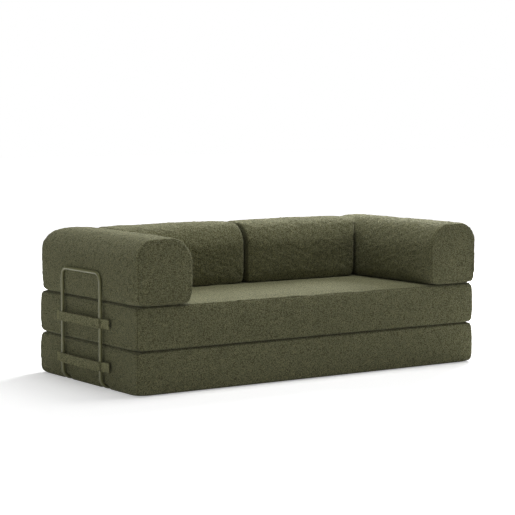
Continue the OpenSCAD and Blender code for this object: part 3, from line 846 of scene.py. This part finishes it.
def press_feet(world, grow=0.0):
    """Presses the eight foot channels into the base. In the plane of each foot, the skin keeps to a
    line that runs down the face, round the foot's bend and in along the top of the foot."""
    world = world.copy()
    radius = FOOT_BEND_R - TUBE_R - CHANNEL_GAP - grow
    centre_z = TUBE_R + FOOT_BEND_R
    reach = LEG_OUT - FOOT_BEND_R
    deep = FOOT_RUN + CAP_HEAD + CHANNEL_GAP + grow
    for axis, feet, face in ((1, SIDE_FEET, SOFA_W / 2 + CROWN), (0, REAR_FEET, REAR_Y + CROWN)):
        for foot in feet:
            for way in ((-1, 1) if axis == 1 else (1,)):
                off = np.abs(world[:, axis] - foot)
                out = way * world[:, 1 - axis] - face - reach
                low = world[:, 2] < centre_z
                inside = 1 - step(off, CHANNEL_EDGE[0] + grow, CHANNEL_EDGE[1] + grow)
                inside = inside * (1 - step(-out, deep, deep + CHANNEL_END))
                # Along the run, the skin is lifted to the channel's top
                top = centre_z - radius
                run = low & (out <= 0) & (world[:, 2] < top)
                world[:, 2] = np.where(run, world[:, 2] + (top - world[:, 2]) * inside, world[:, 2])
                # Round the bend, it is drawn in to the channel's radius
                far = np.hypot(out, world[:, 2] - centre_z)
                bend = low & (out > 0) & (far > radius)
                valley = np.maximum(inside, 0.9 * (1 - step(off, VALLEY_START + grow, FOOT_VALLEY)))
                scale = np.where(bend, 1 + (radius / np.maximum(far, 1e-9) - 1) * valley, 1)
                drawn_in = way * (face + reach + out * scale)
                world[:, 2] = np.where(bend, centre_z + (world[:, 2] - centre_z) * scale, world[:, 2])
                world[:, 1 - axis] = np.where(bend, drawn_in, world[:, 1 - axis])
    return world


def base_shape(world, free):
    pressed = press_feet(world)
    free = free * (1 - step(np.linalg.norm(pressed - world, axis=1), 0.0, 0.002))
    pressed = zip_pocket(pressed, (REAR_Y - ZIP_IN, 0), SOFA_W / 2 - ZIP_END, LAYER_H - GAP / 2, -1, 0)
    return flatter_front(pressed), free


def drop_rear(world):
    """Lets an arm's rear top fall away in a quarter of an ellipse."""
    tall = (world[:, 2] - TOP_Z) / ARM_H
    rear = ARM_Y + ARM_L / 2 + CROWN
    share = np.clip(1 - (rear - world[:, 1]) / ARM_REAR_REACH, 0, 1)
    world[:, 2] -= ARM_REAR_DROP * (1 - np.sqrt(1 - share ** 2)) * step(tall, 0.2, 0.9)
    return world


def arm_shape(world, free):
    """The arm's inner side is fuller over the seat, and its rear top is round."""
    side = np.sign(world[0, 0])
    world = zip_pocket(world, (side * ARM_X, ARM_Y), ARM_L / 2 - ZIP_END, TOP_Z, 1, 1)
    tall = np.clip((world[:, 2] - TOP_Z) / ARM_H, 0, 1)
    inner = 1 - step(side * world[:, 0], ARM_X - ARM_W / 2 + 0.005, ARM_X - 0.02)
    over_seat = 1 - step(world[:, 1], REAR_Y - BACK_D - 0.12, REAR_Y - BACK_D - 0.02)
    world[:, 0] -= side * ARM_FULLER * np.sin(math.pi * tall ** 0.75) * inner * over_seat
    return drop_rear(world), free


def back_shape(world, free):
    """The back's outer end leans over the arm's round shoulder, and follows it a little above.

    At height h over the shoulder's start, the arm's surface has gone back by r - sqrt(r^2 - h^2)."""
    side = np.sign(world[0, 0])
    world = zip_pocket(world, (BACK_Y, side * BACK_X), BACK_W / 2 - ZIP_END, TOP_Z, 1, 0)
    over = np.clip(world[:, 2] - (TOP_Z + ARM_H - ARM_INNER_R), 0, 0.9 * ARM_INNER_R)
    lean = BACK_LEAN * (ARM_INNER_R - np.sqrt(ARM_INNER_R ** 2 - over ** 2))
    world[:, 0] += side * lean * step(side * world[:, 0], BACK_OUT_X - BACK_LEAN_REACH, BACK_OUT_X) ** 2
    return world, free


SEAT_RADII = [CREASE_R, CREASE_R, EDGE_R, EDGE_R]
BASE_RADII = [EDGE_R, EDGE_R, CREASE_R, CREASE_R]
ARM_RADII = [1.25 * EDGE_R, EDGE_R, ARM_OUTER_R, ARM_INNER_R]
BACK_RADII = [EDGE_R, EDGE_R, BACK_REAR_R, BACK_FRONT_R]
FOOT_LINES = [y - MID_Y for y in SIDE_FEET]

padded_skin(
    "seat_mattress", Cushion(SOFA_W, SOFA_D, SEAT_H, SEAT_RADII, EDGE_R, LAYER_PITCH,
                             y_lines=[SOFA_D / 2 - ZIP_IN], long_seams=True),
    in_seat, "seat_cover", "seat", seat_rests, seat_shape, dome, seed=11, limit=behind_fold)
padded_skin(
    "base_mattress", Cushion(SOFA_W, SOFA_D, BASE_H, BASE_RADII, EDGE_R, LAYER_PITCH, x_lines=REAR_FEET,
                             y_lines=FOOT_LINES + [SOFA_D / 2 - ZIP_IN], long_seams=True),
    in_base, "base_cover", "base", base_rests, base_shape, lambda x, y: 0 * x, seed=12, limit=behind_fold)
foam_core("seat_core", (SOFA_W, SOFA_D, SEAT_H, SEAT_RADII), in_seat, "seat_foam", "seat")
foam_core("base_core", (SOFA_W, SOFA_D, BASE_H, BASE_RADII), in_base, "base_foam", "base",
          lambda world: press_feet(world, WRAP_T + GAP), REAR_FEET, FOOT_LINES)
for side, word, seed in ((-1, "left", 13), (1, "right", 14)):
    arm, back = word + "_arm", word + "_back"
    padded_skin(
        arm + "_cushion", Cushion(ARM_L, ARM_W, ARM_H, ARM_RADII, PANEL_R, LOOSE_PITCH, y_lines=[0]),
        in_arm(side), arm + "_cover", arm, loose_rests, arm_shape, seed=seed)
    padded_skin(
        back + "_cushion", Cushion(BACK_W, BACK_D, BACK_H, BACK_RADII, PANEL_R, LOOSE_PITCH, y_lines=[0]),
        in_back(side), back + "_cover", back, loose_rests, back_shape,
        lambda x, y: CROWN * swell(x, 12) * swell(y), seed=seed + 6)
    foam_core(arm + "_core", (ARM_L, ARM_W, ARM_H, ARM_RADII), in_arm(side), arm + "_foam", arm, drop_rear)
    foam_core(back + "_core", (BACK_W, BACK_D, BACK_H, BACK_RADII), in_back(side), back + "_foam", back)


# Brackets and straps
def carried(outline, path, first, second):
    """Rings of an outline (n, 2) along a path (m, 3), laid in the directions first and second."""
    return path[:, None] + outline[None, :, 0:1] * first[:, None] + outline[None, :, 1:2] * second[:, None]


def tube_path():
    """Middle line of a bracket, from foot to top bar and down again, with its two square directions."""
    foot_z, corner_z, foot_y = TUBE_R + FOOT_BEND_R, BAR_Z - TOP_BEND_R, LEG_OUT - FOOT_BEND_R
    x = LEG_SPAN / 2
    share = even(0, 1, 0.25)
    foot = np.stack([0 * share + x, foot_y - FOOT_RUN * (1 - share), 0 * share + TUBE_R], 1)
    turn = np.radians(np.linspace(0, 90, 15)[1:])
    c, s = np.cos(turn), np.sin(turn)
    bend = np.stack([0 * turn + x, foot_y + FOOT_BEND_R * s, foot_z - FOOT_BEND_R * c], 1)
    rise = even(foot_z, corner_z, 0.06)[1:]
    upright = np.stack([0 * rise + x, 0 * rise + LEG_OUT, rise], 1)
    corner = np.stack([x - TOP_BEND_R * (1 - c), 0 * turn + LEG_OUT, corner_z + TOP_BEND_R * s], 1)
    half = np.concatenate([foot, bend, upright, corner])
    other = half[::-1] * np.array([-1, 1, 1])
    path = np.concatenate([half, other])
    ahead = np.concatenate([path[1:] - path[:-1], path[-1:] - path[-2:-1]])
    ahead /= np.linalg.norm(ahead, axis=1, keepdims=True)
    before = np.concatenate([ahead[:1], ahead[:-1]])
    along = ahead + before
    along /= np.linalg.norm(along, axis=1, keepdims=True)
    in_foot = path[:, 2] < foot_z - 1e-6
    outward = np.broadcast_to(np.array([0.0, 1.0, 0.0]), path.shape)
    level = np.cross(along, outward)
    level /= np.maximum(np.linalg.norm(level, axis=1, keepdims=True), 1e-9)
    fixed = np.where(path[:, 0:1] > 0, 1.0, -1.0) * np.array([-1.0, 0, 0])
    second = np.where(in_foot[:, None], fixed, level)
    first = np.where(in_foot[:, None], np.cross(second, along), outward)
    return path, first, second


def tube_skin():
    """Painted tube with its wall: the outer circle along the path, and in each mouth the inner one,
    as deep as the plug of a cap reaches."""
    path, first, second = tube_path()
    turn = np.linspace(0, 2 * math.pi, 28, endpoint=False)
    ring = np.stack([np.cos(turn), np.sin(turn)], 1)
    outer = carried(ring * TUBE_R, path, first, second)
    back = np.array([0.0, PLUG_L + CAP_HEAD, 0.0])
    bore = TUBE_R - TUBE_WALL
    mouths = []
    for end in (0, -1):
        rims = [path[end] + shift + radius * (ring[:, 0:1] * first[end] + ring[:, 1:2] * second[end])
                for radius, shift in ((bore, 0 * back), (bore, back), (0.0005, back))]
        mouths.append(np.stack(rims))
    return np.concatenate([mouths[0][::-1], outer, mouths[1]])


def make_rings(name, rings, material, attributes=None):
    """A closed piece from rings: its walls are quads, and each end is one flat face."""
    m, n = rings.shape[:2]
    index = np.arange(m * n).reshape(m, n)
    after = np.roll(index, -1, 1)
    walls = np.stack([index[:-1], index[1:], after[1:], after[:-1]], -1).reshape(-1, 4)
    points = rings.reshape(-1, 3)
    mesh = bpy.data.meshes.new(name)
    ends = [index[0].tolist(), index[-1][::-1].tolist()]
    quads = points[walls]
    area = np.cross(quads[:, 2] - quads[:, 0], quads[:, 3] - quads[:, 1])
    faces = walls.tolist() + ends
    if np.einsum("ij,ij->", area, quads.mean(1)) < 0:
        faces = [f[::-1] for f in faces]
    mesh.from_pydata(points.tolist(), [], faces)
    mesh.polygons.foreach_set("use_smooth", np.r_[np.full(len(walls), True), [False, False]])
    for key, values in (attributes or {}).items():
        marks = mesh.attributes.new(key, "FLOAT", "POINT")
        marks.data.foreach_set("value", values.astype(np.float32).ravel())
    mesh.materials.append(material)
    mesh.update()
    piece = bpy.data.objects.new(name, mesh)
    bpy.context.scene.collection.objects.link(piece)
    return piece


def at_side(side):
    """A bracket's own frame, with x along the face and y outwards, set against the left or right side."""
    def place(p):
        x = side * (SOFA_W / 2 + CROWN + p[..., 1])
        return np.stack([x, MID_Y + BRACKET_BACK + p[..., 0], p[..., 2]], -1)
    return place


def at_rear(side):
    def place(p):
        return np.stack([side * (BACK_X - p[..., 0]), REAR_Y + CROWN + p[..., 1], p[..., 2]], -1)
    return place


def strap_line():
    """Middle line of a strap in plan: front tab, ramp, band over both uprights, ramp and rear tab."""
    half, share = LEG_SPAN / 2, np.linspace(0, 1, 13)
    height = BAND_OUT - (BAND_OUT - TAB_OUT) * (1 - np.cos(math.pi * share)) / 2
    ramp = np.stack([half + STRAP_RAMP * share, height], 1)
    sides = []
    for length in (FRONT_TAB, REAR_TAB):
        far = even(0, length, STRAP_ROWS)[1:]
        sides.append(np.concatenate([ramp, np.stack([half + STRAP_RAMP + far, 0 * far + TAB_OUT], 1)]))
    x = even(-half, half, 0.01)[1:-1]
    band = np.stack([x, BAND_OUT - BAND_SAG * (1 - (x / half) ** 2)], 1)
    return np.concatenate([sides[0][::-1] * np.array([-1, 1]), band, sides[1]])


def strap_rings(z):
    """A strap: a soft flat section with thicker edges, carried along its middle line, with its ends folded
    over to the outside. Returns marks for the painted light on its tips, and for its darker top rim with a
    painted shade line across the ramp by the front tab, as well."""
    line = strap_line()
    ahead = np.gradient(line, axis=0)
    ahead /= np.linalg.norm(ahead, axis=1, keepdims=True)
    square = np.stack([-ahead[:, 1], ahead[:, 0]], 1)
    turn = np.linspace(0, 2 * math.pi, 40, endpoint=False)
    c, s = np.cos(turn), np.sin(turn)
    across = STRAP_W / 2 * np.sign(c) * np.abs(c) ** 0.35
    edge = np.exp(-((np.abs(across) - STRAP_W / 2 + HEM_IN) / HEM_WIDE) ** 2)
    thick = STRAP_T / 2 * np.sign(s) * np.abs(s) ** 0.45 * (0.74 + 0.3 * edge)
    lengths = np.concatenate([[0], np.cumsum(np.linalg.norm(np.diff(line, axis=0), axis=1))])
    ends = np.minimum(lengths, lengths[-1] - lengths)
    fold = 1 + 0.9 * (1 - step(ends, *FOLD_OVER))
    rings = np.empty((len(line), len(turn), 3))
    offset = thick[None, :] * np.where(thick[None, :] > 0, fold[:, None], 1.0)
    rings[..., 0] = line[:, 0:1] + square[:, 0:1] * offset
    rings[..., 1] = line[:, 1:2] + square[:, 1:2] * offset
    rings[..., 2] = z + across[None, :]
    close = []
    for end, way in ((0, -1), (-1, 1)):
        middle = rings[end].mean(0)
        drawn = [middle + (rings[end] - middle) * np.array([1, k, w]) + np.array([way * g, 0, 0])
                 for k, w, g in ((0.85, 0.985, 0.0008), (0.5, 0.96, 0.0014))]
        close.append(np.stack(drawn))
    rings = np.concatenate([close[0][::-1], rings, close[1]])
    far = np.concatenate([[0, 0], lengths, [lengths[-1]] * 2])
    back = lengths[-1] - far
    tab = FRONT_TAB + 0.6 * STRAP_RAMP
    # Painted light: the front tab at part strength, and the rear end in full
    tips = np.maximum(0.6 * (1 - step(far, tab - 0.006, tab)), 1 - step(back, 0.012, 0.015))
    # Painted shade: a dark line across the ramp just past the front tab
    ramp_shade = np.exp(-((far - tab - 0.006) / 0.006) ** 2)
    rim = step(across, STRAP_W / 2 - 0.0045, STRAP_W / 2 - 0.002)
    rim = np.broadcast_to(rim, (len(rings), len(turn)))
    return rings, {"tip": tips[:, None] + 0 * rim, "rim": np.maximum(0.8 * rim, ramp_shade[:, None])}


PAINT = green_paint()
CAPS, HOOKS = cap_plastic(), hook_tape()


def dress_bracket(word, place):
    body = word + "_bracket"
    tube = make_rings(word + "_bent_tube", place(tube_skin()), PAINT)
    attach(tube, body)
    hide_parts(word + "_tube")
    for level, z in (("upper", UPPER_STRAP_Z), ("lower", LOWER_STRAP_Z)):
        rings, marks = strap_rings(z)
        rings = place(rings)
        flat = rings.reshape(-1, 3)
        seed = sum(map(ord, word + level))
        flat += 0.0005 * np.stack([waves(flat, seed + k, 0.05, 0.012) for k in range(3)], 1)
        strap = make_rings(f"{word}_{level}_band", flat.reshape(rings.shape), LIT_STRAP_CLOTH, marks)
        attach(strap, body)
        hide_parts(f"{word}_{level}_strap")


for word, place in (("left", at_side(-1)), ("right", at_side(1)),
                    ("rear_left", at_rear(-1)), ("rear_right", at_rear(1))):
    dress_bracket(word, place)


# Fabric hinge in the front crease
def hinge_rings():
    """A cloth strip in the crease: the wedge between the layers' round edges, with a soft nose.

    At depth d behind the front seams, each half is r - sqrt(r^2 - (r - d)^2) high, less the ease."""
    nose_l, ease = 0.0012, 0.0001
    depth = np.linspace(HINGE_REAR, HINGE_FRONT + nose_l, 6)
    high = CREASE_R - np.sqrt(CREASE_R ** 2 - (CREASE_R - depth) ** 2) - ease
    top = np.stack([depth, high], 1)
    turn = np.radians(np.linspace(70, -70, 9))
    nose = np.stack([top[-1, 0] - nose_l * np.cos(turn), high[-1] * np.sin(turn)], 1)
    outline = np.concatenate([top, nose, top[::-1] * np.array([1, -1])])
    xs = even(-SOFA_W / 2 + HINGE_END, SOFA_W / 2 - HINGE_END, 0.012)
    rings = np.empty((len(xs), len(outline), 3))
    rings[..., 0] = xs[:, None]
    rings[..., 1] = FRONT_Y + outline[None, :, 0] + 0.0004 * np.cos(xs * 130)[:, None]
    rings[..., 2] = LAYER_H + outline[None, :, 1]
    return rings


# The hinge strip's cloth is the olive darkened to 0.3: painted shade in the front crease
SHADED_HINGE_CLOTH = teddy_cloth("shaded_hinge_cloth", shaded(OLIVE, 0.3), curl=0.003, depth=0.001, seams=False)
hinge = make_rings("crease_hinge", hinge_rings(), SHADED_HINGE_CLOTH)
FRONT_Y + 0.007
FRONT_Y + 0.007
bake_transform(hinge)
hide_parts("fold_hinge")


# CAD nodes that stay
def dress_node(name, material):
    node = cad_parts[name]
    node.data.materials.clear()
    node.data.materials.append(material)


for word in ("left", "right", "rear_left", "rear_right"):
    dress_node(word + "_caps", CAPS)
    dress_node(word + "_hook_tapes", HOOKS)
dress_node("base_grip_pad", grip_pad())
for name, centre, along in (
        ("seat_zip", REAR_Y - ZIP_IN, 0), ("base_zip", REAR_Y - ZIP_IN, 0),
        ("left_arm_zip", -ARM_X, 1), ("right_arm_zip", ARM_X, 1),
        ("left_back_zip", BACK_Y, 0), ("right_back_zip", BACK_Y, 0)):
    dress_node(name, zip_finish(name + "_finish", centre, along))


# Stage
def make_floor():
    """Pale floor that reads as white to the camera and in reflections, and keeps the soft shadow.

    Its own glow rises to full white with distance from the middle, so that no far edge shows."""
    half = 30.0
    corners = np.array([[-half, -half, 0], [half, -half, 0], [half, half, 0], [-half, half, 0]])
    finish = Finish("pale_floor", 0.9, Specular_IOR_Level=0.0)
    camera, gloss, glass = [finish.node("ShaderNodeLightPath", out=f"Is {kind} Ray")
                            for kind in ("Camera", "Glossy", "Transmission")]
    seen = camera + gloss + glass
    colour = finish.blend(seen.between(0.2, 0.8), tone(218, 218, 218), tone(236, 236, 236))
    finish.set("Base Color", colour)
    here = finish.place()
    out = finish.node("ShaderNodeVectorMath", {"operation": "LENGTH"}, [here], "Value")
    strength = seen * (0.4 + 0.6 * out.between(1.5, 4.0))
    glow = finish.node("ShaderNodeEmission", {},
                       {"Color": (1.0, 1.0, 1.0, 1.0), "Strength": strength}, "Emission")
    lit = Wire(finish, finish.shader.outputs["BSDF"])
    finish.join(finish.tree.nodes["Material Output"].inputs["Surface"],
                finish.node("ShaderNodeAddShader", {}, [lit, glow], "Shader"))
    floor = make_piece("floor", corners, np.array([[0, 1, 2, 3]]), finish.material, smooth=False)


def make_world():
    """Even studio light, white where the camera sees it, also through glass."""
    world = bpy.data.worlds.new("studio")
    world.use_nodes = True
    tree = world.node_tree
    back = tree.nodes["Background"]
    back.inputs["Color"].default_value = (1.0, 1.0, 1.0, 1.0)
    paths = tree.nodes.new("ShaderNodeLightPath")
    seen = tree.nodes.new("ShaderNodeMath")
    seen.operation = "MAXIMUM"
    tree.links.new(paths.outputs["Is Camera Ray"], seen.inputs[0])
    tree.links.new(paths.outputs["Is Transmission Ray"], seen.inputs[1])
    level = tree.nodes.new("ShaderNodeMapRange")
    level.inputs["To Min"].default_value = 0.11
    level.inputs["To Max"].default_value = 1.0
    tree.links.new(seen.outputs[0], level.inputs["Value"])
    tree.links.new(level.outputs[0], back.inputs["Strength"])
    bpy.context.scene.world = world


make_floor()
make_world()
bpy.context.scene.view_settings.view_transform = "Standard"
